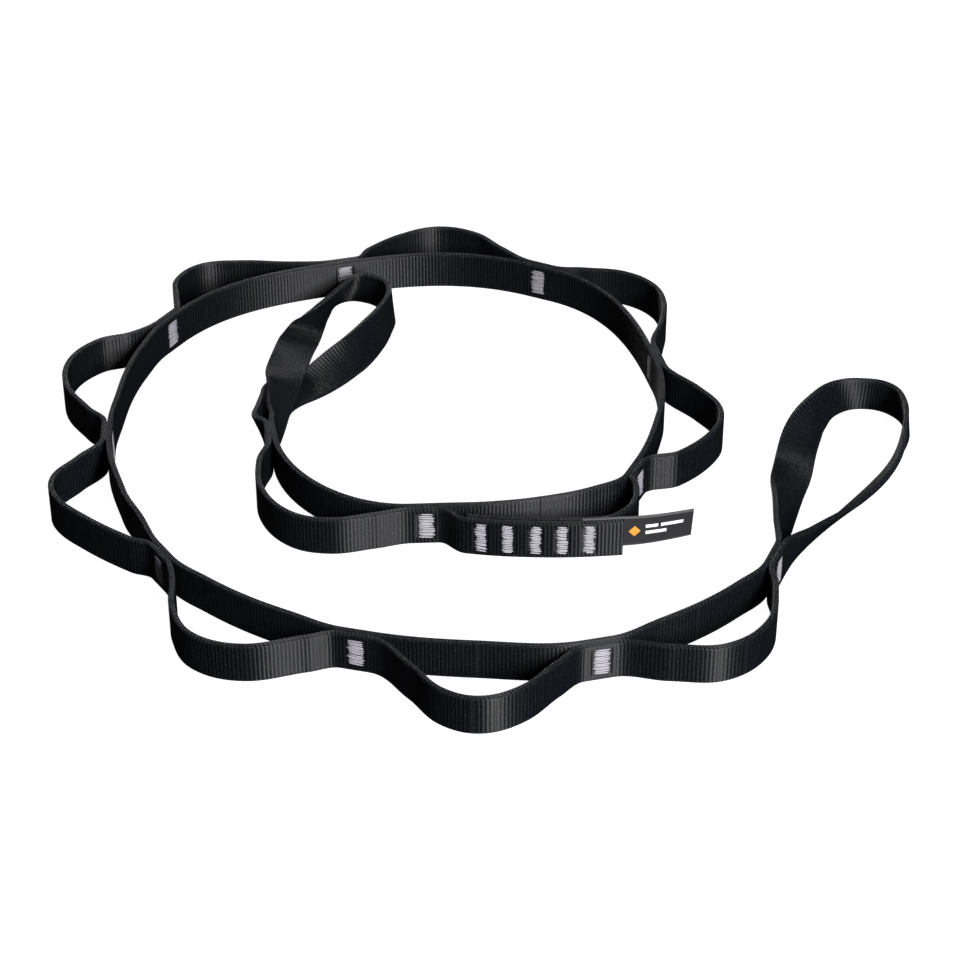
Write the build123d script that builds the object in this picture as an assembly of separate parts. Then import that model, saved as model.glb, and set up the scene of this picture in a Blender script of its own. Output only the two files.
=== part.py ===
"""Sewn daisy-chain sling: one flat webbing strap, bar-tacked into eleven pockets and two end loops.

Millimetres.  The sling stands on its lower edge (z = 0) in an open clockwise spiral.
Plan: x to the right, y to the rear.  "Outer" is the side of the strap pair that bulges into
pockets; "spine" is the smooth inner strap.
"""
from build123d import *
import math
import os

# ---------------------------------------------------------------- driving dimensions
WIDTH = 16.0            # webbing width, standing on edge
THICK = 2.2             # webbing thickness
TACK_LEN = 7.0          # bar tack, along the strap
TACK_TALL = 11.0        # bar tack, across the strap
LAP_TACK_LEN = 5.0      # closing bar tacks on the overlap
LAP_TACK_TALL = 12.6
PAD = 0.45              # raised thread on each face
LEG = 0.7               # row of needle stitches through the strap
FLEX = 5.2              # flex line, measured from a tack centre
GAP = 0.8               # strap left out at a flex line
HAIR = 0.06             # gap between two straps lying face to face
STIFF_OUT = 5.9         # straight strap after a tack
STIFF_IN = 4.5          # straight strap before a tack

# Bar-tack stations on the line where the two straps touch: x, y, heading in degrees
STATIONS = [
    (109.6, -69, -113), (43, -121, -166), (-44, -116.2, 166), (-118, -68, 124),
    (-147.6, 12, 94), (-131, 96, 57), (-59, 141.5, 15), (26, 138, -25),
    (72, 69, -77), (60.5, -13, -115), (-20.5, -39.5, -177), (-82.8, 12, 100),
]

# Points each bulging strap passes between its two bar tacks
POCKETS = {
    1: [(108.3, -88), (104, -109), (88.5, -122.8), (68, -123.3)],
    2: [(28, -132), (15, -146), (0, -152), (-14, -147), (-24.7, -133.5)],
    3: [(-62, -118.3), (-85, -123.3), (-103.3, -116.5), (-111.4, -101), (-113, -84)],
    4: [(-131.3, -59.3), (-150, -45.5), (-162.7, -32), (-164.6, -19.5), (-156.8, -7)],
    5: [(-156.8, 27.7), (-167.5, 45), (-168.2, 63), (-158.6, 77.5), (-145, 83.4)],
    6: [(-129, 112), (-130, 126), (-121, 138), (-104, 141), (-82, 140)],
    7: [(-48.5, 151.7), (-34, 164), (-18, 170), (-2, 165), (9, 153)],
    8: [(45, 135), (62, 132), (74, 122), (78, 108), (76, 92)],
    9: [(77, 55.5), (88.5, 42), (96, 28), (93.5, 14), (78.5, -3)],
    11: [(-40, -44.3), (-57, -47.6), (-72.3, -43), (-83.5, -28), (-86, -9)],
}

# Points the spine strap passes where it is straighter than its two bar tacks would leave it
SPINES = {
    1: [(95, -86.5), (81.5, -98), (64.5, -109)],
    2: [(-1, -121.5)],
    3: [(-68.3, -104.7), (-85, -95.3), (-100.5, -84)],
    4: [(-128.5, -45.3), (-136.8, -28.5)],
    5: [(-145.8, 37.6), (-143.8, 56.4), (-139.6, 73.6)],
    9: [(73.8, 44.5), (72, 26.8)],
    10: [(44.5, -26.8), (26, -33.2), (5, -37)],
}

# The overlap that closes the strap, on the line between its two layers
LAP = [(54, -47.2), (26, -48.8), (-5, -46.2)]
LAP_START, LAP_END = (-0.995, -0.1), (-0.985, 0.17)
LAP_LEAVES = 46         # x where the rear layer leaves the overlap
LAP_APPROACH = [(60, -25), (59.5, -33), (55.5, -41)]
LAP_TACKS = [0.5, 10.8, 21.1, 31.4, 41.7]

# End loops: lower edge x, y, z and how far the upper edge leans in x and y
LOOP_A = [
    (121, -48.3, 0, 4.6, -3.9), (139.2, -24.2, 0, 8, -6.4), (156, -1.8, 0, 7.2, -4.6),
    (168.2, 18, 0, 0.8, -0.5), (172.8, 35, 0, -2.5, -1), (167, 47, 0, -1, -2.6),
    (155, 50.8, 0, 0.2, -2.8), (145, 46, 0, -2, 0), (139, 34.5, 0, -7, 2),
    (136.5, 25, 0, -13.5, 1.5), (134.3, 16, 0, -15.6, 0), (130.2, -2, 0, -15, 1),
    (125.3, -16, 0, -12, 1), (120.2, -32, 0, -7.5, 1), (115.3, -48, 0, -3.5, 1),
]
LOOP_B = [
    (-84.3, 23, 0, -5.8, 0), (-82, 32, 0, -7.3, 0.5), (-79, 40, 0, -9.4, 2), (-77, 46, 0, -10.9, 4.5),
    (-73, 51.5, 0, -11.5, 8.5), (-67, 56.5, 0, -11, 11), (-61, 62, 0, -11.5, 10.5),
    (-54, 70, 0, -10.5, 8.5), (-47.5, 80, 0, -8.5, 5), (-41.8, 94, 0, -6.6, 1),
    (-38.6, 107, 0, -3.4, -1), (-37.6, 119, 0, -1.2, -1), (-44, 129.5, 0, 1, -2),
    (-52, 134, 0, 0, -4), (-59, 133.5, 0, 0, -9), (-64, 128.5, 0, -3, -12),
    (-65.5, 118, 0.5, -10, -10), (-66.5, 106, 1.5, -14.2, -4.8), (-67.7, 94, 3.5, -14.8, -2),
    (-69.3, 80, 7, -14.8, 0), (-71.2, 64, 9.5, -14.8, 0), (-73.8, 50, 9, -12.8, 0),
    (-77, 40, 5.5, -8.4, 1), (-79.6, 30, 1.5, -5, 0), (-81.4, 23, 0, -1.5, 0),
]

# Folded cloth label caught in the overlap
LABEL_PLY = 0.35
LABEL_LOW, LABEL_TALL = 3.2, 13.4
LABEL_TUCKED_TO = 38.5  # x of the sewn-in end
LABEL_FLEX = 0.6        # gap at the label's flex line
LABEL_TIP = (80.5, -41.5)
LABEL_TIP_HEADING = 15

CENTRE = (1.76, 9.0)    # middle of the whole outline, which becomes the origin


# ---------------------------------------------------------------- curves in plan
def polar(heading):
    return math.cos(math.radians(heading)), math.sin(math.radians(heading))


def unit(vector):
    size = math.sqrt(sum(c * c for c in vector))
    return tuple(c / size for c in vector)


def mix(weights, vectors):
    return tuple(sum(w * c for w, c in zip(weights, column)) for column in zip(*vectors))


def smooth(points, start, end, steps):
    """Tangent-continuous curve through points, as (point, direction) pairs.

    start and end are the directions at its two ends; points may have any number of coordinates.
    """
    slopes = [start]
    for before, after in zip(points, points[2:]):
        run = math.hypot(after[0] - before[0], after[1] - before[1])
        slopes.append(tuple((q - p) / run for p, q in zip(before, after)))
    slopes.append(end)
    curve = [(points[0], start)]
    for i, (a, d) in enumerate(zip(points, points[1:])):
        reach = 0.36 * math.hypot(d[0] - a[0], d[1] - a[1])
        b = mix((1, reach), (a, slopes[i]))
        c = mix((1, -reach), (d, slopes[i + 1]))
        for n in range(1, steps + 1):
            t = n / steps
            s = 1 - t
            point = mix((s**3, 3 * s * s * t, 3 * s * t * t, t**3), (a, b, c, d))
            slope = mix((-s * s, s * s - 2 * s * t, 2 * s * t - t * t, t * t), (a, b, c, d))
            curve.append((point, unit(slope)))
    return curve


def shifted(curve, distance):
    """The plan curve moved sideways to its left."""
    return [((x - distance * dy, y + distance * dx), (dx, dy)) for (x, y), (dx, dy) in curve]


def at_station(number, along, side=0):
    """Point beside a bar tack: along the strap, and to its outer (+) or spine (-) side."""
    x, y, heading = STATIONS[number - 1]
    c, s = polar(heading)
    offset = side * (THICK + HAIR) / 2
    return x + along * c - offset * s, y + along * s + offset * c


def heading_at(number):
    return polar(STATIONS[number - 1][2])


# ---------------------------------------------------------------- solids
def band(curve, lead=0.0, tail=0.0, thick=THICK, low=0.0, tall=WIDTH):
    """Upright strap along a plan curve, with a straight lead before it and a straight tail after it."""
    sides = [shifted(curve, side * thick / 2) for side in (1, -1)]
    start, end = curve[0][1], curve[-1][1]
    splines = [Spline(*[point for point, _ in side], tangents=[slope for _, slope in side])
               for side in sides]
    first = [mix((1, -lead), (side[0][0], start)) for side in sides]
    last = [mix((1, tail), (side[-1][0], end)) for side in sides]
    edges = [*splines, Line(*first), Line(*last)]
    if lead:
        edges += [Line(corner, side[0][0]) for corner, side in zip(first, sides)]
    if tail:
        edges += [Line(side[-1][0], corner) for corner, side in zip(last, sides)]
    return Pos(0, 0, low) * extrude(Face(Wire(edges)), tall, dir=(0, 0, 1))


def strap(number, side):
    """Strap of one link, from one flex line to the next."""
    through = (POCKETS if side > 0 else SPINES).get(number, [])
    points = [at_station(number, STIFF_OUT, side), *through, at_station(number + 1, -STIFF_IN, side)]
    curve = smooth(points, heading_at(number), heading_at(number + 1), 2 if through else 6)
    return band(curve, lead=STIFF_OUT - FLEX - GAP / 2, tail=STIFF_IN + FLEX - GAP / 2)


def lap_curve(steps=8):
    return smooth(LAP, LAP_START, LAP_END, steps)


def lap_rear():
    """Strap from tack 10 round to the rear layer of the overlap."""
    layer = [spot for spot in shifted(lap_curve(), -(THICK + HAIR) / 2) if spot[0][0] <= LAP_LEAVES]
    points = [at_station(10, STIFF_OUT, 1), *LAP_APPROACH, layer[0][0]]
    curve = smooth(points, heading_at(10), layer[0][1], 2) + layer[1:]
    return band(curve, lead=STIFF_OUT - FLEX - GAP / 2)


def lap_front():
    """Front layer of the overlap, stepping in to tack 11."""
    layer = shifted(lap_curve(), (THICK + HAIR) / 2)
    step = smooth([layer[-1][0], at_station(11, -STIFF_IN, 1)], LAP_END, heading_at(11), 4)
    return band(layer + step[1:], tail=STIFF_IN + FLEX - GAP / 2)


def bar_tack(x, y, heading, length, tall):
    """Satin bar on both faces of two straps, joined by its two rows of stitches."""
    pile = 2 * THICK + HAIR + 0.04
    pad = fillet(Box(length, PAD, tall).edges().filter_by(Axis.Y), 0.8)
    tack = Pos(0, (pile + PAD) / 2, 0) * pad + Pos(0, -(pile + PAD) / 2, 0) * pad
    for side in (-1, 1):
        tack += Pos(side * (length / 2 - 0.9), 0, 0) * Box(LEG, pile + PAD, tall - 1)
    return Pos(x, y, WIDTH / 2) * Rot(0, 0, heading) * tack


def station_tack(number):
    x, y, heading = STATIONS[number - 1]
    return bar_tack(x, y, heading, TACK_LEN, TACK_TALL)


def lap_tack(x_wanted):
    """Bar tack square to the overlap at the given x."""
    (x, y), (dx, dy) = min(lap_curve(60), key=lambda spot: abs(spot[0][0] - x_wanted))
    return bar_tack(x, y, math.degrees(math.atan2(dy, dx)), LAP_TACK_LEN, LAP_TACK_TALL)


def middle(row):
    """Middle of a leaning strap: row is its lower edge x, y, z and the upper edge's lean."""
    x, y, z, lean_x, lean_y = row
    return x + lean_x / 2, y + lean_y / 2, z + math.sqrt(WIDTH**2 - lean_x**2 - lean_y**2) / 2


def section(row, travel):
    """Cross-section of a leaning strap heading along travel; its lower corner never sinks below z."""
    x, y, z, lean_x, lean_y = row
    across = Vector(lean_x, lean_y, math.sqrt(WIDTH**2 - lean_x**2 - lean_y**2)) / WIDTH
    outward = Vector(*travel).cross(across).normalized()
    foot = Vector(x, y, max(z, 0) + abs(outward.Z) * THICK / 2)
    corners = [foot + outward * (THICK / 2 * side) + across * up
               for side, up in ((1, 0), (1, WIDTH), (-1, WIDTH), (-1, 0))]
    return Face(Wire.make_polygon(corners, close=True))


def end_loop(number, rows, outward, tail):
    """Leaning loop of strap beyond an end bar tack; tail is where its two straight ends stop."""
    c, s = mix((outward,), (heading_at(number),))
    first, last = [(*at_station(number, outward * STIFF_OUT, side), 0, 0, 0) for side in (1, -1)]
    curve = smooth([first, *rows, last], (c, s, 0, 0, 0), (-c, -s, 0, 0, 0), 2)
    stations = [row for row, _ in curve]
    spots = [middle(row) for row in stations]
    faces = [section((*at_station(number, tail, 1), 0, 0, 0), (c, s, 0)), section(first, (c, s, 0))]
    for before, row, after in zip(spots, stations[1:-1], spots[2:]):
        faces.append(section(row, mix((-1, 1), (before, after))))
    faces.append(section(last, (-c, -s, 0)))
    faces.append(section((*at_station(number, tail, -1), 0, 0, 0), (-c, -s, 0)))
    return loft(faces, ruled=True)


def label_tab():
    """The two plies of label sewn in between the layers of the overlap."""
    inside = [(point, (-dx, -dy)) for point, (dx, dy) in lap_curve() if point[0] >= LABEL_TUCKED_TO]
    return band(inside[::-1], thick=2 * LABEL_PLY, low=LABEL_LOW, tall=LABEL_TALL)


def label_flap():
    """Free end of the label: one ribbon folded back on itself at the tip."""
    out = mix((-1,), (LAP_START,))
    root = mix((1, LABEL_FLEX), (LAP[0], out))
    curve = smooth([root, LABEL_TIP], out, polar(LABEL_TIP_HEADING), 8)
    flap = band(curve, thick=2 * LABEL_PLY, low=LABEL_LOW, tall=LABEL_TALL)
    return flap - band(curve[:-1], thick=0.1, lead=1, low=LABEL_LOW - 1, tall=LABEL_TALL + 2)


# ---------------------------------------------------------------- assembly
def cut(solid, tools):
    """The solid with the room its neighbours need taken out of it."""
    for tool in tools:
        solid = solid - tool
    return solid


def build():
    parts = {}
    tacks = {n: station_tack(n) for n in range(1, 13)}
    lap_tacks = {n: lap_tack(x) for n, x in enumerate(LAP_TACKS, 1)}
    for n in range(1, 12):
        parts[f"spine_strap_{n:02d}"] = cut(strap(n, -1), [tacks[n + 1]])
    for n in POCKETS:
        parts[f"pocket_strap_{n:02d}"] = cut(strap(n, 1), [tacks[n + 1]])
    tab = label_tab()
    parts["pocket_strap_10_rear"] = cut(lap_rear(), [tab, *lap_tacks.values()])
    parts["pocket_strap_10_front"] = cut(lap_front(), [tab, tacks[11], *lap_tacks.values()])
    parts["label_tab"] = cut(tab, [lap_tacks[5]])
    parts["label_flap"] = label_flap()
    parts["end_loop_a"] = cut(end_loop(1, LOOP_A, -1, FLEX - GAP / 2), [tacks[1]])
    parts["end_loop_b"] = end_loop(12, LOOP_B, 1, FLEX + GAP / 2)
    for n, tack in tacks.items():
        parts[f"bar_tack_{n:02d}"] = tack
    for n, tack in lap_tacks.items():
        parts[f"lap_tack_{n}"] = tack
    return parts


os.makedirs("parts", exist_ok=True)
for name, solid in build().items():
    export_step(Pos(-CENTRE[0], -CENTRE[1], 0) * solid, f"parts/{name}.step")
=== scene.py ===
"""Looks of the daisy chain sling: ribbed webbing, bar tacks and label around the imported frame."""
import math

import bpy
import numpy as np
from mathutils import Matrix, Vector


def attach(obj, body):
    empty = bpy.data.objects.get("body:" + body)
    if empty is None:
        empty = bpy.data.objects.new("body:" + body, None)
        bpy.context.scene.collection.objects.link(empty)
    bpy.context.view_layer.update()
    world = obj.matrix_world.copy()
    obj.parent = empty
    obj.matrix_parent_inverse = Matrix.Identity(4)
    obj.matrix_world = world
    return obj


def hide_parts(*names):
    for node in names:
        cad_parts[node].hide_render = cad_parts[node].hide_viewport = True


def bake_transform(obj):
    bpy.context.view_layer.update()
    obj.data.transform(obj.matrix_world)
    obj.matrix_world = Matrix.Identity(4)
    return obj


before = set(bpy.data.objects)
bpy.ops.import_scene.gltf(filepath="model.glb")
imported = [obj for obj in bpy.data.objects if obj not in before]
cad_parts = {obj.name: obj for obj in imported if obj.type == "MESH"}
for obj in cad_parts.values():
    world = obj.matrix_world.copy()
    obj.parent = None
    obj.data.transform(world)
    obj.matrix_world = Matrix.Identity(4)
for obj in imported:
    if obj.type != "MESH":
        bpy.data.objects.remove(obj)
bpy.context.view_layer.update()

# ---------------------------------------------------------------- dimensions as in the CAD, millimetres
MM = 0.001
WIDTH = 16.0
THICK = 2.2
HAIR = 0.06
STIFF_OUT = 5.9
STIFF_IN = 4.5
CENTRE = (1.76, 9.0)

STATIONS = [
    (109.6, -69, -113), (43, -121, -166), (-44, -116.2, 166), (-118, -68, 124),
    (-147.6, 12, 94), (-131, 96, 57), (-59, 141.5, 15), (26, 138, -25),
    (72, 69, -77), (60.5, -13, -115), (-20.5, -39.5, -177), (-82.8, 12, 100),
]
POCKETS = {
    1: [(108.3, -88), (104, -109), (88.5, -122.8), (68, -123.3)],
    2: [(28, -132), (15, -146), (0, -152), (-14, -147), (-24.7, -133.5)],
    3: [(-62, -118.3), (-85, -123.3), (-103.3, -116.5), (-111.4, -101), (-113, -84)],
    4: [(-131.3, -59.3), (-150, -45.5), (-162.7, -32), (-164.6, -19.5), (-156.8, -7)],
    5: [(-156.8, 27.7), (-167.5, 45), (-168.2, 63), (-158.6, 77.5), (-145, 83.4)],
    6: [(-129, 112), (-130, 126), (-121, 138), (-104, 141), (-82, 140)],
    7: [(-48.5, 151.7), (-34, 164), (-18, 170), (-2, 165), (9, 153)],
    8: [(45, 135), (62, 132), (74, 122), (78, 108), (76, 92)],
    9: [(77, 55.5), (88.5, 42), (96, 28), (93.5, 14), (78.5, -3)],
    11: [(-40, -44.3), (-57, -47.6), (-72.3, -43), (-83.5, -28), (-86, -9)],
}
SPINES = {
    1: [(95, -86.5), (81.5, -98), (64.5, -109)],
    2: [(-1, -121.5)],
    3: [(-68.3, -104.7), (-85, -95.3), (-100.5, -84)],
    4: [(-128.5, -45.3), (-136.8, -28.5)],
    5: [(-145.8, 37.6), (-143.8, 56.4), (-139.6, 73.6)],
    9: [(73.8, 44.5), (72, 26.8)],
    10: [(44.5, -26.8), (26, -33.2), (5, -37)],
}
LAP = [(54, -47.2), (26, -48.8), (-5, -46.2)]
LAP_START, LAP_END = (-0.995, -0.1), (-0.985, 0.17)
LAP_LEAVES = 46
LAP_APPROACH = [(60, -25), (59.5, -33), (55.5, -41)]
LAP_TACKS = [0.5, 10.8, 21.1, 31.4, 41.7]
LOOP_A = [
    (121, -48.3, 0, 4.6, -3.9), (139.2, -24.2, 0, 8, -6.4), (156, -1.8, 0, 7.2, -4.6),
    (168.2, 18, 0, 0.8, -0.5), (172.8, 35, 0, -2.5, -1), (167, 47, 0, -1, -2.6),
    (155, 50.8, 0, 0.2, -2.8), (145, 46, 0, -2, 0), (139, 34.5, 0, -7, 2),
    (136.5, 25, 0, -13.5, 1.5), (134.3, 16, 0, -15.6, 0), (130.2, -2, 0, -15, 1),
    (125.3, -16, 0, -12, 1), (120.2, -32, 0, -7.5, 1), (115.3, -48, 0, -3.5, 1),
]
LOOP_B = [
    (-84.3, 23, 0, -5.8, 0), (-82, 32, 0, -7.3, 0.5), (-79, 40, 0, -9.4, 2), (-77, 46, 0, -10.9, 4.5),
    (-73, 51.5, 0, -11.5, 8.5), (-67, 56.5, 0, -11, 11), (-61, 62, 0, -11.5, 10.5),
    (-54, 70, 0, -10.5, 8.5), (-47.5, 80, 0, -8.5, 5), (-41.8, 94, 0, -6.6, 1),
    (-38.6, 107, 0, -3.4, -1), (-37.6, 119, 0, -1.2, -1), (-44, 129.5, 0, 1, -2),
    (-52, 134, 0, 0, -4), (-59, 133.5, 0, 0, -9), (-64, 128.5, 0, -3, -12),
    (-65.5, 118, 0.5, -10, -10), (-66.5, 106, 1.5, -14.2, -4.8), (-67.7, 94, 3.5, -14.8, -2),
    (-69.3, 80, 7, -14.8, 0), (-71.2, 64, 9.5, -14.8, 0), (-73.8, 50, 9, -12.8, 0),
    (-77, 40, 5.5, -8.4, 1), (-79.6, 30, 1.5, -5, 0), (-81.4, 23, 0, -1.5, 0),
]
LABEL_LOW, LABEL_TALL = 3.2, 13.4
LABEL_TIP = (80.5, -41.5)
LABEL_TIP_HEADING = 15
LABEL_TUCKED_TO = 38.5
LABEL_FLEX = 0.6

# Cloth detail
RIB = 1.45              # one cross rib of the weave
STEPS_PER_RIB = 6
FACE_COLUMNS = 18       # mesh columns across one face
EDGE_COLUMNS = 6        # mesh columns across one selvedge
SKIN = 1.0              # half thickness between ribs
CORNER = 0.3            # radius where a face turns into the selvedge
RIB_DEPTH = 0.11
RIB_SHARPNESS = 6       # higher makes flatter ribs and narrower valleys
SELVEDGE = 0.13         # height of the slanted selvedge stitches
SELVEDGE_ROWS = 3       # rows of them
SELVEDGE_SLANT = 0.3    # how far they lean, in ribs
SELVEDGE_FROM = 6.9     # their bump and painted sheen start this far from the strap's middle
YARN = 0.62             # width of one yarn that runs along the strap
TRAVEL_STEP = 0.3       # distance over which the strip's direction is measured

# Bar tacks
TACK_LEN, TACK_TALL = 7.0, 11.0
LAP_TACK_LEN, LAP_TACK_TALL = 5.0, 12.6
LAP_TACK_SEED = 20      # seeds of the overlap's tacks start after this
STITCH_STEP = 0.8       # height from one stitch to the next
STITCH_MARGIN = 0.5     # height of the first stitch above the tack's lower edge
STITCH_INSET = 0.3      # how far short of the tack's ends a stitch stops
THREAD_RADIUS = 0.34
THREAD_FLAT = 0.55      # thickness of a pressed thread as a share of its width
THREAD_BOW = 0.34       # how far a stitch arches out
THREAD_SUNK = 0.75      # share of the bow by which its ends go under the surface
THREAD_ROUND = 6        # mesh columns round one thread
THREAD_ROWS = 9         # mesh rows along one thread
REACH_SPREAD = 0.45     # random differences between stitches
SLANT_RANGE = (0.1, 0.55)
LEVEL_SPREAD = 0.1
BOW_RANGE = (-0.06, 0.1)
PINCH = 0.16            # how far a bar tack presses the strap in
PINCH_EDGE = 0.5        # length over which the strap springs back
PINCH_ABOVE = 0.4       # how far past the tack's height it is pressed

# Label
LABEL_RIM = 0.9         # woven border
LABEL_COLUMNS = 12
LABEL_LEAN = 8          # degrees the free tip leans out at the top
LABEL_RISE = 0.9        # how far the free tip lifts
LABEL_FREE = 27.0       # free length
LABEL_SKIN = 0.3        # thickness of one ply
FOLD = 0.17             # half the distance between the two plies
MARK_SKIN = 0.08        # thickness of the woven marks
MARK_COLUMNS = 13
MARK_BLUNT = 1.03       # above 1 keeps a little width at the diamond's points
LABEL_DIAMOND = (2.2, 6.6, 7.4, 12.2)   # from and to along the free length, low and high
LABEL_BARS = [(8.6, 13.4, 10.9), (14.4, 23.2, 10.9), (8.6, 16.8, 7.9)]  # from, to and low
LABEL_BAR_TALL = 1.5
LABEL_WEAVE = 0.35      # one thread of the ribbon
LABEL_ROWS = 60         # mesh rows along one ply
FOLD_ROWS = 9           # mesh rows round the fold

UV_PER_MM = 0.01        # texture units for each millimetre of cloth


# ---------------------------------------------------------------- curves, as in the CAD
def polar(heading):
    return math.cos(math.radians(heading)), math.sin(math.radians(heading))


def smooth(points, start, end, steps=16):
    """Tangent-continuous curve through points of any size; start and end are its end directions."""
    points = [np.array(p, float) for p in points]
    slopes = [np.array(start, float)]
    for before, after in zip(points, points[2:]):
        slopes.append((after - before) / np.hypot(*(after - before)[:2]))
    slopes.append(np.array(end, float))
    curve = [points[0]]
    for i, (a, d) in enumerate(zip(points, points[1:])):
        reach = 0.36 * np.hypot(*(d - a)[:2])
        b, c = a + reach * slopes[i], d - reach * slopes[i + 1]
        for t in np.linspace(0, 1, steps + 1)[1:]:
            s = 1 - t
            curve.append(s**3 * a + 3 * s * s * t * b + 3 * s * t * t * c + t**3 * d)
    return np.array(curve)


def at_station(number, along, side=0):
    x, y, heading = STATIONS[number - 1]
    c, s = polar(heading)
    offset = side * (THICK + HAIR) / 2
    return x + along * c - offset * s, y + along * s + offset * c


def heading_at(number):
    return polar(STATIONS[number - 1][2])


def shifted(curve, distance):
    """A plan curve moved sideways to its left."""
    step = np.gradient(curve, axis=0)
    step /= np.linalg.norm(step, axis=1)[:, None]
    return curve + distance * np.stack([-step[:, 1], step[:, 0]], axis=1)


# ---------------------------------------------------------------- the whole strip as one path
def upright(curve):
    """Rows of centre and width direction for a strap standing on edge."""
    curve = np.asarray(curve, float)
    ones = np.ones(len(curve))
    return np.column_stack([curve, ones * WIDTH / 2, 0 * ones, 0 * ones, ones])


def leaning(rows):
    """The same for a leaning strap given by its lower edge and the upper edge's lean."""
    rise = np.sqrt(WIDTH**2 - rows[:, 3] ** 2 - rows[:, 4] ** 2)
    across = np.column_stack([rows[:, 3], rows[:, 4], rise]) / WIDTH
    foot = np.column_stack([rows[:, :2], np.maximum(rows[:, 2], 0)])
    travel = np.gradient(foot + across * WIDTH / 2, axis=0)
    face = np.cross(across, travel)
    face /= np.linalg.norm(face, axis=1)[:, None]
    foot[:, 2] += np.abs(face[:, 2]) * THICK / 2
    return np.column_stack([foot + across * WIDTH / 2, across])


def span(number, side):
    """One strap between the straight stretches at two bar tacks."""
    through = (POCKETS if side > 0 else SPINES).get(number, [])
    points = [at_station(number, STIFF_OUT, side), *through, at_station(number + 1, -STIFF_IN, side)]
    return upright(smooth(points, heading_at(number), heading_at(number + 1),
                          steps=16 if through else 80))


def end_loop(number, rows, outward):
    c, s = np.array(heading_at(number)) * outward
    first, last = [(*at_station(number, outward * STIFF_OUT, side), 0, 0, 0) for side in (1, -1)]
    return leaning(smooth([first, *rows, last], (c, s, 0, 0, 0), (-c, -s, 0, 0, 0), steps=12))


def lap_line():
    return smooth(LAP, LAP_START, LAP_END, steps=40)


def lap_front():
    layer = shifted(lap_line(), (THICK + HAIR) / 2)
    step = smooth([layer[-1], at_station(11, -STIFF_IN, 1)], LAP_END, heading_at(11))
    return upright(np.vstack([layer, step[1:]]))


def lap_rear():
    layer = shifted(lap_line(), -(THICK + HAIR) / 2)
    layer = layer[layer[:, 0] <= LAP_LEAVES]
    joins = (layer[1] - layer[0]) / np.linalg.norm(layer[1] - layer[0])
    points = [at_station(10, STIFF_OUT, 1), *LAP_APPROACH, layer[0]]
    return upright(np.vstack([smooth(points, heading_at(10), joins), layer[1:]]))


def strip():
    """The one continuous strip as rows of centre and width direction, the length travelled at each
    row, and the length at the middle of each span."""
    runs = [("lap_front", lap_front()), ("pocket_11", span(11, 1)), ("loop_b", end_loop(12, LOOP_B, 1))]
    runs += [(f"spine_{n:02d}", span(n, -1)[::-1]) for n in range(11, 0, -1)]
    runs += [("loop_a", end_loop(1, LOOP_A, -1)[::-1])]
    runs += [(f"pocket_{n:02d}", span(n, 1)) for n in range(1, 10)] + [("lap_rear", lap_rear())]
    rows = np.vstack([run for _, run in runs])
    gaps = np.linalg.norm(np.diff(rows[:, :3], axis=0), axis=1)
    keep = np.concatenate([[True], gaps > 1e-6])
    travelled = np.concatenate([[0], np.cumsum(gaps)])
    middles, start = {}, 0
    for name, run in runs:
        end = start + len(run) - 1
        middle = (travelled[start] + travelled[end]) / 2
        middles[name] = RIB * round(middle / RIB)
        start = end + 1
    return rows[keep], travelled[keep], middles


ROWS, TRAVELLED, MIDDLES = strip()


def resampled(start, end):
    """Even rows of the strip between two lengths: centre, width direction, face normal and length."""
    count = max(2, round((end - start) / RIB * STEPS_PER_RIB) + 1)
    lengths = np.linspace(start, end, count)
    wide = np.concatenate([[lengths[0] - TRAVEL_STEP], lengths, [lengths[-1] + TRAVEL_STEP]])
    rows = np.column_stack([np.interp(wide, TRAVELLED, column) for column in ROWS.T])
    for last, near, next_near in ((0, 1, 2), (-1, -2, -3)):
        if (rows[last, :3] == rows[near, :3]).all():    # past the strip's own end: straight on
            rows[last, :3] += rows[near, :3] - rows[next_near, :3]
    travel = rows[2:, :3] - rows[:-2, :3]
    centre, across = rows[1:-1, :3], rows[1:-1, 3:]
    across = across / np.linalg.norm(across, axis=1)[:, None]
    face = np.cross(across, travel)
    face /= np.linalg.norm(face, axis=1)[:, None]
    return centre, across, face, lengths


# ---------------------------------------------------------------- meshes
def to_frame(points):
    return (np.asarray(points, float) - np.array([*CENTRE, 0])) * MM


def new_mesh(name, points, faces, material, uv=None):
    """A mesh object from points in CAD millimetres; uv holds millimetres along and round the strap."""
    mesh = bpy.data.meshes.new(name)
    mesh.from_pydata(to_frame(points).tolist(), [], faces)
    mesh.update()
    if uv is not None:
        layer = mesh.uv_layers.new(name="strap")
        corners = np.zeros(len(mesh.loops), np.int32)
        mesh.loops.foreach_get("vertex_index", corners)
        layer.data.foreach_set("uv", (uv[corners] * UV_PER_MM).astype(np.float32).ravel())
    mesh.polygons.foreach_set("use_smooth", [True] * len(mesh.polygons))
    mesh.materials.append(material)
    piece = bpy.data.objects.new(name, mesh)
    bpy.context.scene.collection.objects.link(piece)
    return piece


def tube_faces(rows, columns):
    """Quads round and along a closed tube, with a fan of quads closing each end."""
    ring = np.arange(columns)
    after = np.roll(ring, -1)
    starts = (np.arange(rows - 1) * columns)[:, None]
    ends = starts + columns
    quads = np.stack([starts + ring, starts + after, ends + after, ends + ring], axis=2)
    faces = quads.reshape(-1, 4).tolist()
    for i in range(columns // 2 - 1):
        cap = [i, columns - 1 - i, columns - 2 - i, i + 1]
        faces.append(cap[::-1])
        faces.append([(rows - 1) * columns + j for j in cap])
    return faces


def flat_ends(piece, columns):
    """Keep the two closed ends of a tube, its last faces, out of the smooth shading."""
    for face in piece.data.polygons[-(columns - 2):]:
        face.use_smooth = False


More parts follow.
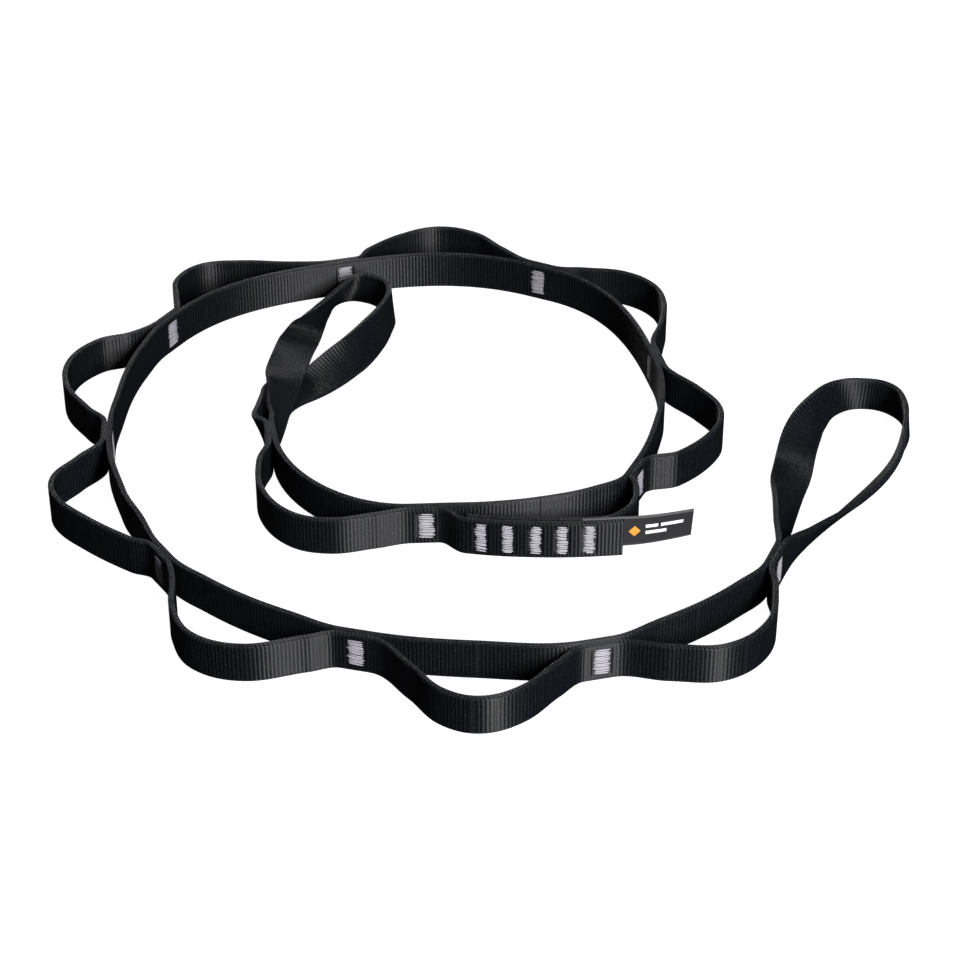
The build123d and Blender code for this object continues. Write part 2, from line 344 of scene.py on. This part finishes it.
def strap_profile():
    """Strap section: positions across and out of the strap, and the way each point faces."""
    flat, thin = WIDTH / 2 - CORNER, SKIN - CORNER
    faces = np.linspace(-flat, flat, FACE_COLUMNS + 1)
    edge = np.linspace(-thin, thin, EDGE_COLUMNS + 1)
    turn = math.sqrt(0.5)
    reach = CORNER * turn
    face = np.array([[a, -SKIN, 0, -1] for a in faces])
    side = np.array([[flat + CORNER, b, 1, 0] for b in edge])
    lower, upper = [[flat + reach, out * (thin + reach), turn, out * turn] for out in (-1, 1)]
    half = np.vstack([face, lower, side, upper]).T
    return np.column_stack([half, -half])


def webbing_points(start, end):
    """Ribbed webbing between two lengths of the strip: points and their place on the cloth."""
    centre, across, face, lengths = resampled(start, end)
    a, b, a_way, b_way = strap_profile()
    phase = (lengths / RIB)[:, None]
    on_face = np.abs(b_way) ** 4
    ribs = 1 - np.abs(np.cos(math.pi * phase)) ** RIB_SHARPNESS
    slant = SELVEDGE_SLANT * b / SKIN * np.sign(a)
    rows = 0.4 + 0.6 * np.cos(SELVEDGE_ROWS / 2 * math.pi * b / SKIN) ** 2
    stitch = np.maximum(0, np.cos(2 * math.pi * (phase + slant))) * rows
    lift = RIB_DEPTH * ribs * on_face + SELVEDGE * stitch * (1 - on_face)
    lift = lift - pinch(lengths)[:, None] * (np.abs(a) < TACK_TALL / 2 + PINCH_ABOVE) * on_face
    wide, deep = (a + lift * a_way)[..., None], (b + lift * b_way)[..., None]
    points = centre[:, None] + wide * across[:, None] + deep * face[:, None]
    place = np.where(on_face > 0.9, a, np.sign(a) * (WIDTH / 2 + SKIN) + b)
    uv = np.stack(np.broadcast_arrays(lengths[:, None], place[None, :]), axis=2)
    return points.reshape(-1, 3), tube_faces(len(lengths), len(a)), uv.reshape(-1, 2)


def pinch(lengths):
    """How far bar tacks press the strap's faces in at each length."""
    depth = np.zeros(len(lengths))
    for place, half in PRESSED:
        inside = (half + PINCH_EDGE - np.abs(lengths - place)) / PINCH_EDGE
        depth = np.maximum(depth, PINCH * np.clip(inside, 0, 1))
    return depth


def pressed_places():
    """Length of the strip at each bar tack that it passes through, with the tack's half length."""
    places = []
    for number in range(1, 13):
        for side in (1, -1):
            spot = np.array([*at_station(number, 0, side), WIDTH / 2])
            places.append((length_near(spot), TACK_LEN / 2))
    for side in (1, -1):
        layer = shifted(lap_line(), side * (THICK + HAIR) / 2)
        for x in LAP_TACKS:
            spot = layer[np.argmin(np.abs(layer[:, 0] - x))]
            places.append((length_near([*spot, WIDTH / 2]), LAP_TACK_LEN / 2))
    return places


def length_near(spot):
    """Length of the strip where it comes nearest to a point, found on the straight between samples."""
    a, b = ROWS[:-1, :3], ROWS[1:, :3]
    run = b - a
    share = np.clip(((spot - a) * run).sum(1) / (run * run).sum(1), 0, 1)
    nearest = np.argmin(np.linalg.norm(a + share[:, None] * run - spot, axis=1))
    return TRAVELLED[nearest] + share[nearest] * (TRAVELLED[nearest + 1] - TRAVELLED[nearest])


PRESSED = pressed_places()


def webbing(name, start, end, replaces, material):
    """One length of webbing, standing for CAD straps."""
    points, faces, uv = webbing_points(start, end)
    piece = new_mesh(name, points, faces, material, uv)
    flat_ends(piece, len(strap_profile()[0]))
    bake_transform(piece)
    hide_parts(*replaces)


def thread(start, end, out, bow):
    """One bar-tack stitch: a flattened tube that dives into the strap at both ends."""
    t = np.linspace(0, 1, THREAD_ROWS)
    arch = np.minimum(1, 2.2 * np.sin(math.pi * t))
    centre = start + (end - start) * t[:, None] + out * ((arch - THREAD_SUNK) * bow)[:, None]
    length = np.linalg.norm(end - start)
    side = np.cross(out, (end - start) / length)
    angles = np.arange(THREAD_ROUND) * 2 * math.pi / THREAD_ROUND
    ring = np.cos(angles)[:, None] * side * THREAD_RADIUS
    ring = ring + np.sin(angles)[:, None] * out * THREAD_RADIUS * THREAD_FLAT
    taper = (0.5 + 0.5 * np.sin(math.pi * (0.08 + 0.84 * t)))[:, None, None]
    points = (centre[:, None] + ring[None] * taper).reshape(-1, 3)
    round_it = np.tile(angles * THREAD_RADIUS, THREAD_ROWS)
    uv = np.column_stack([np.repeat(t * length, THREAD_ROUND), round_it])
    return points, np.array(tube_faces(THREAD_ROWS, THREAD_ROUND)), uv


def bar_tack(name, x, y, heading, length, tall, body, node, material, seed):
    """Bar of zigzag stitches on both faces of the strap pair."""
    random = np.random.default_rng(seed)
    c, s = polar(heading)
    along, up = np.array([c, s, 0]), np.array([0, 0, 1.0])
    points, faces, uv = [], [], []
    total = 0
    for side in (1, -1):
        out = np.array([-s, c, 0]) * side
        surface = np.array([x, y, WIDTH / 2]) + out * (THICK + HAIR / 2 - PINCH)
        for level in np.arange(-tall / 2 + STITCH_MARGIN, tall / 2, STITCH_STEP):
            reach = length / 2 - STITCH_INSET + random.uniform(-REACH_SPREAD, REACH_SPREAD, 2)
            slant = random.uniform(*SLANT_RANGE)
            level += random.uniform(-LEVEL_SPREAD, LEVEL_SPREAD)
            begin = surface - along * reach[0] + up * (level - slant / 2)
            finish = surface + along * reach[1] + up * (level + slant / 2)
            bow = THREAD_BOW + random.uniform(*BOW_RANGE)
            stitch = thread(begin, finish, out, bow)
            points.append(stitch[0])
            faces.append(stitch[1] + total)
            uv.append(stitch[2])
            total += len(stitch[0])
    piece = new_mesh(name, np.vstack(points), np.vstack(faces).tolist(), material, np.vstack(uv))
    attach(piece, body)
    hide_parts(node)


# ---------------------------------------------------------------- materials
class Graph:
    """Short way to wire a material's nodes."""

    def __init__(self, name):
        self.material = bpy.data.materials.new(name)
        self.material.use_nodes = True
        self.nodes = self.material.node_tree.nodes
        self.links = self.material.node_tree.links
        self.shader = self.nodes["Principled BSDF"]

    def plug(self, value, socket):
        if isinstance(value, (int, float)):
            socket.default_value = value
        else:
            self.links.new(value, socket)

    def math(self, operation, a, b=0.0, c=0.0):
        node = self.nodes.new("ShaderNodeMath")
        node.operation = operation
        for value, socket in zip((a, b, c), node.inputs):
            self.plug(value, socket)
        return node.outputs[0]

    def place(self, layer):
        """Millimetres along and across the cloth."""
        uv = self.nodes.new("ShaderNodeUVMap")
        uv.uv_map = layer
        split = self.nodes.new("ShaderNodeSeparateXYZ")
        self.links.new(uv.outputs[0], split.inputs[0])
        return [self.math("MULTIPLY", split.outputs[i], 1 / UV_PER_MM) for i in range(2)]

    def wave(self, value, period):
        """Smooth 0 to 1 wave."""
        turned = self.math("MULTIPLY", value, 2 * math.pi / period)
        return self.math("MULTIPLY_ADD", self.math("SINE", turned), 0.5, 0.5)

    def between(self, value):
        """The value kept from 0 to 1."""
        return self.math("MINIMUM", self.math("MAXIMUM", value, 0.0), 1.0)

    def noise(self, scale, detail=3.0):
        """Noise in the object's own space; scale is waves per metre."""
        spot = self.nodes.new("ShaderNodeTexCoord")
        node = self.nodes.new("ShaderNodeTexNoise")
        node.inputs["Scale"].default_value = scale
        node.inputs["Detail"].default_value = detail
        self.links.new(spot.outputs["Object"], node.inputs["Vector"])
        return node.outputs["Fac"]

    def colour(self, factor, dark, light):
        node = self.nodes.new("ShaderNodeMix")
        node.data_type = "RGBA"
        self.plug(factor, node.inputs["Factor"])
        node.inputs["A"].default_value = (*dark, 1)
        node.inputs["B"].default_value = (*light, 1)
        return node.outputs["Result"]

    def bump(self, height, distance):
        """Relief of the given height in millimetres."""
        node = self.nodes.new("ShaderNodeBump")
        node.inputs["Strength"].default_value = 1.0
        node.inputs["Distance"].default_value = distance * MM
        self.plug(height, node.inputs["Height"])
        self.links.new(node.outputs[0], self.shader.inputs["Normal"])

    def along(self, layer, anisotropy):
        """Stretch highlights across threads that run along the strap."""
        node = self.nodes.new("ShaderNodeTangent")
        node.direction_type = "UV_MAP"
        node.uv_map = layer
        self.links.new(node.outputs[0], self.shader.inputs["Tangent"])
        self.shader.inputs["Anisotropic"].default_value = anisotropy
        self.shader.inputs["Anisotropic Rotation"].default_value = 0.25


def webbing_material():
    """Black ribbed tape: painted sheen on the yarns of each rib and on the slanted selvedge stitches,
    with rough dark valleys between the ribs.
    """
    g = Graph("webbing")
    s, v = g.place("strap")
    fuzz = g.noise(5200.0)
    speck = g.between(g.math("MULTIPLY_ADD", g.noise(2600.0, 1.0), 5.0, -2.2))
    yarn = g.wave(v, YARN)
    swing = g.math("ABSOLUTE", g.math("COSINE", g.math("MULTIPLY", s, math.pi / RIB)))
    valley = g.math("POWER", swing, 5.0)
    dash = g.math("MULTIPLY", yarn, g.math("SUBTRACT", 1.0, valley))
    from_border = g.math("SUBTRACT", g.math("ABSOLUTE", v), SELVEDGE_FROM)
    border = g.between(g.math("MULTIPLY", from_border, 2.5))
    slanted = g.wave(g.math("MULTIPLY_ADD", v, 0.75, s), RIB)
    stitches = g.math("POWER", g.math("MULTIPLY", slanted, yarn), 1.5)
    sewn = g.math("MULTIPLY", stitches, border)
    g.bump(g.math("ADD", g.math("MULTIPLY_ADD", fuzz, 0.5, dash), sewn), 0.06)
    # painted sheen: the base colour is made lighter on the yarns of the rib crests and on the selvedge
    # stitches, standing in for highlights; the same mask also lowers the roughness there
    painted_sheen = g.math("MULTIPLY", g.math("MULTIPLY_ADD", speck, 0.7, 0.3), dash)
    tone = g.math("MULTIPLY_ADD", painted_sheen, 0.5, g.math("MULTIPLY", sewn, speck))
    black_with_painted_sheen = g.colour(tone, (0.0004, 0.0006, 0.0016), (0.036, 0.038, 0.044))
    g.plug(black_with_painted_sheen, g.shader.inputs["Base Color"])
    g.plug(g.math("MULTIPLY_ADD", painted_sheen, -0.3, 0.52), g.shader.inputs["Roughness"])
    g.shader.inputs["Specular IOR Level"].default_value = 0.2
    g.along("strap", 1.0)
    return g.material


def thread_material():
    """Lilac-grey sewing thread."""
    g = Graph("tack_thread")
    s, v = g.place("strap")
    fuzz = g.noise(6000.0)
    ply = g.wave(g.math("ADD", s, v), 0.45)
    g.bump(g.math("MULTIPLY_ADD", fuzz, 0.6, ply), 0.05)
    tone = g.math("MULTIPLY_ADD", fuzz, 0.6, g.math("MULTIPLY", ply, 0.4))
    lilac = g.colour(tone, (0.035, 0.033, 0.045), (0.5, 0.48, 0.55))
    g.plug(lilac, g.shader.inputs["Base Color"])
    g.shader.inputs["Roughness"].default_value = 0.55
    g.shader.inputs["Specular IOR Level"].default_value = 1.0
    g.along("strap", 0.9)
    return g.material


def plain_material(name, colour):
    """Flat embroidery thread."""
    g = Graph(name)
    s, v = g.place("strap")
    g.bump(g.wave(g.math("ADD", s, v), 0.4), 0.04)
    shade = g.noise(3000.0)
    g.plug(g.colour(shade, [0.7 * c for c in colour], colour), g.shader.inputs["Base Color"])
    g.shader.inputs["Roughness"].default_value = 0.8
    return g.material


def label_material():
    """Tightly woven charcoal ribbon with a lighter border."""
    g = Graph("label")
    s, v = g.place("strap")
    weave = g.math("MULTIPLY", g.wave(s, LABEL_WEAVE), g.wave(v, LABEL_WEAVE))
    fuzz = g.noise(4000.0)
    g.bump(g.math("MULTIPLY_ADD", fuzz, 0.6, weave), 0.03)
    from_rim = g.math("SUBTRACT", g.math("ABSOLUTE", v), LABEL_TALL / 2 - LABEL_RIM)
    rim = g.between(g.math("MULTIPLY", from_rim, 4.0))
    tone = g.math("ADD", g.math("MULTIPLY", fuzz, 0.35), g.math("MULTIPLY", rim, 0.65))
    charcoal = g.colour(tone, (0.002, 0.002, 0.003), (0.06, 0.06, 0.065))
    g.plug(charcoal, g.shader.inputs["Base Color"])
    g.shader.inputs["Roughness"].default_value = 0.75
    g.shader.inputs["Specular IOR Level"].default_value = 0.3
    return g.material


# ---------------------------------------------------------------- pieces
def make_webbing():
    """The strip, divided at the middles of its spans."""
    material = webbing_material()
    cut = MIDDLES
    end = TRAVELLED[-1]
    webbing("webbing_overlap_front", 0, cut["pocket_11"],
            ["pocket_strap_10_front", "pocket_strap_11"], material)
    webbing("webbing_end_b", cut["pocket_11"], cut["spine_11"], ["end_loop_b"], material)
    for n in range(11, 1, -1):
        webbing(f"webbing_spine_{n:02d}", cut[f"spine_{n:02d}"], cut[f"spine_{n - 1:02d}"],
                [f"spine_strap_{n:02d}"], material)
    webbing("webbing_end_a", cut["spine_01"], cut["pocket_01"],
            ["end_loop_a", "spine_strap_01", "pocket_strap_01"], material)
    for n in range(2, 10):
        webbing(f"webbing_pocket_{n:02d}", cut[f"pocket_{n - 1:02d}"], cut[f"pocket_{n:02d}"],
                [f"pocket_strap_{n:02d}"], material)
    webbing("webbing_overlap_rear", cut["pocket_09"], end, ["pocket_strap_10_rear"], material)


def make_tacks():
    """The twelve bar tacks between pockets and the five that close the overlap."""
    material = thread_material()
    for n, (x, y, heading) in enumerate(STATIONS, 1):
        body = "end_loop_a" if n == 1 else f"link_{n - 1:02d}"
        bar_tack(f"stitches_{n:02d}", x, y, heading, TACK_LEN, TACK_TALL, body, f"bar_tack_{n:02d}",
                 material, n)
    line = lap_line()
    for n, wanted in enumerate(LAP_TACKS, 1):
        i = int(np.argmin(np.abs(line[:, 0] - wanted)))
        step = line[i + 1] - line[i - 1]
        heading = math.degrees(math.atan2(step[1], step[0]))
        bar_tack(f"overlap_stitches_{n}", *line[i], heading, LAP_TACK_LEN, LAP_TACK_TALL, "link_10",
                 f"lap_tack_{n}", material, LAP_TACK_SEED + n)


def label_line():
    """Middle of the folded label's two plies, from the sewn-in end to the tip, and length along it."""
    tucked = lap_line()
    tucked = tucked[tucked[:, 0] >= LABEL_TUCKED_TO][::-1]
    out = -np.array(LAP_START)
    free = smooth([LAP[0] + LABEL_FLEX * out, LABEL_TIP], out, polar(LABEL_TIP_HEADING), steps=60)
    line = np.vstack([tucked, free])
    step = np.linalg.norm(np.diff(line, axis=0), axis=1)
    keep = np.concatenate([[True], step > 1e-6])
    return line[keep], np.concatenate([[0], np.cumsum(step)])[keep]


def label_frame(travelled, low, high, out):
    """Points on the label's face: out from the middle line, between two heights, leaning at the tip."""
    line, lengths = label_line()
    spots, ahead, behind = [
        np.column_stack([np.interp(travelled + step, lengths, column) for column in line.T])
        for step in (0, 0.5, -0.5)
    ]
    run = (ahead - behind) / np.linalg.norm(ahead - behind, axis=1)[:, None]
    side = np.stack([run[:, 1], -run[:, 0]], axis=1)
    free = np.clip((travelled - (lengths[-1] - LABEL_FREE)) / LABEL_FREE, 0, 1)
    rows = []
    for share in np.linspace(0, 1, LABEL_COLUMNS + 1):
        height = low + share * (high - low)
        lean = np.tan(math.radians(LABEL_LEAN) * free) * (height - LABEL_LOW)
        spot = spots + side * (out + lean)[:, None]
        rows.append(np.column_stack([spot, height + LABEL_RISE * free**2]))
    return np.stack(rows, axis=1)


def ribbon(name, travelled, outs, low, high, material, thick):
    """Thin closed sheet through label positions, each at its own distance out of the middle line."""
    low, high = low + 0 * travelled, high + 0 * travelled
    inner, outer = [label_frame(travelled, low, high, outs + side * thick / 2) for side in (-1, 1)]
    ring = np.concatenate([inner, outer[:, ::-1]], axis=1)
    run = np.concatenate([[0], np.cumsum(np.linalg.norm(np.diff(inner[:, 0], axis=0), axis=1))])
    share = np.linspace(0, 1, inner.shape[1])
    height = low[:, None] + (high - low)[:, None] * share - LABEL_LOW - LABEL_TALL / 2
    place = np.concatenate([height, height[:, ::-1]], axis=1)
    uv = np.stack(np.broadcast_arrays(run[:, None], place), axis=2)
    faces = tube_faces(len(travelled), ring.shape[1])
    return new_mesh(name, ring.reshape(-1, 3), faces, material, uv.reshape(-1, 2))


def make_mark(name, start, end, low, high, material, pointed=False):
    """Woven bar or diamond on the label's front; start and end are measured along its free length."""
    end_of_label = label_line()[1][-1]
    travelled = end_of_label - LABEL_FREE + np.linspace(start, end, MARK_COLUMNS)
    middle, half = (low + high) / 2, (high - low) / 2
    if pointed:
        half = half * (MARK_BLUNT - np.abs(np.linspace(-1, 1, MARK_COLUMNS)))
    outs = FOLD + (LABEL_SKIN + MARK_SKIN) / 2 + 0 * travelled
    piece = ribbon(name, travelled, outs, middle - half, middle + half, material, MARK_SKIN)
    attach(piece, "label")
    return piece


def make_label():
    """Ribbon folded at its free tip, with both ends sewn in, and plain coloured marks on its front."""
    end = label_line()[1][-1]
    out = np.linspace(0, end - FOLD, LABEL_ROWS)
    turn = np.linspace(-math.pi / 2, math.pi / 2, FOLD_ROWS)[1:-1]
    travelled = np.concatenate([out, end - FOLD + FOLD * np.cos(turn), out[::-1]])
    outs = np.concatenate([0 * out - FOLD, FOLD * np.sin(turn), 0 * out + FOLD])
    high = LABEL_LOW + LABEL_TALL
    piece = ribbon("label_ribbon", travelled, outs, LABEL_LOW, high, label_material(), LABEL_SKIN)
    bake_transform(piece)
    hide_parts("label_tab", "label_flap")
    orange = plain_material("label_orange", (0.75, 0.28, 0.03))
    white = plain_material("label_white", (0.75, 0.75, 0.77))
    marks = [make_mark("label_diamond", *LABEL_DIAMOND, orange, pointed=True)]
    for n, (start, finish, low) in enumerate(LABEL_BARS, 1):
        marks.append(make_mark(f"label_bar_{n}", start, finish, low, low + LABEL_BAR_TALL, white))


# ---------------------------------------------------------------- stage
LIGHT_DISTANCE = 1.6    # metres, like everything in this section
LIGHTS = [              # name, azimuth, elevation, size, watts
    ("key", -62, 30, (0.3, 0.7), 64),
    ("top", 90, 80, (1.6, 1.2), 6),
    ("rear", 105, 28, (0.5, 0.5), 9),
]
CAMERA_BACK, CAMERA_HIGH = 0.8831, 0.6299
CAMERA_LENS, CAMERA_SENSOR = 102.98, 36     # millimetres
FLOOR_HALF, FLOOR_LOW = 6.0, 0.0002


def aimed(name, data, place, aim):
    """An object that looks along aim from place."""
    holder = bpy.data.objects.new(name, data)
    holder.location = place
    holder.rotation_euler = Vector(aim).to_track_quat("-Z", "Y").to_euler()
    bpy.context.scene.collection.objects.link(holder)
    return holder


def area_light(name, azimuth, elevation, size, power):
    """Soft light aimed at the sling; azimuth 0 is along +X and -90 is the front."""
    light = bpy.data.lights.new(name, "AREA")
    light.shape = "RECTANGLE"
    light.size, light.size_y = size
    light.energy = power
    a, e = math.radians(azimuth), math.radians(elevation)
    place = np.array([math.cos(a) * math.cos(e), math.sin(a) * math.cos(e), math.sin(e)])
    aimed(name, light, LIGHT_DISTANCE * place, -place)


def make_floor():
    """Plain white floor that takes only a faint shadow."""
    mesh = bpy.data.meshes.new("floor")
    corners = [(-1, -1), (1, -1), (1, 1), (-1, 1)]
    mesh.from_pydata([(x * FLOOR_HALF, y * FLOOR_HALF, 0) for x, y in corners], [], [(0, 1, 2, 3)])
    floor = bpy.data.objects.new("floor", mesh)
    bpy.context.scene.collection.objects.link(floor)
    g = Graph("floor")
    shader = g.shader
    shader.inputs["Base Color"].default_value = (0.2, 0.2, 0.2, 1)
    shader.inputs["Roughness"].default_value = 1.0
    shader.inputs["Specular IOR Level"].default_value = 0.0
    shader.inputs["Emission Color"].default_value = (1, 1, 1, 1)
    shader.inputs["Emission Strength"].default_value = 0.97
    mesh.materials.append(g.material)
    floor.location.z = -FLOOR_LOW
    floor.visible_glossy = False
    floor.visible_diffuse = False


def make_stage():
    """Dim studio, lights, floor and camera."""
    world = bpy.data.worlds.new("studio")
    bpy.context.scene.world = world
    world.use_nodes = True
    background = world.node_tree.nodes["Background"]
    background.inputs["Color"].default_value = (1, 1, 1, 1)
    background.inputs["Strength"].default_value = 0.03
    for light in LIGHTS:
        area_light(*light)
    make_floor()
    camera = bpy.data.cameras.new("camera")
    camera.lens, camera.sensor_width = CAMERA_LENS, CAMERA_SENSOR
    place = (-CENTRE[0] * MM, -CAMERA_BACK - CENTRE[1] * MM, CAMERA_HIGH)
    bpy.context.scene.camera = aimed("camera", camera, place, (0, CAMERA_BACK, -CAMERA_HIGH))
    bpy.context.scene.view_settings.view_transform = "Standard"


make_webbing()
make_tacks()
make_label()
make_stage()
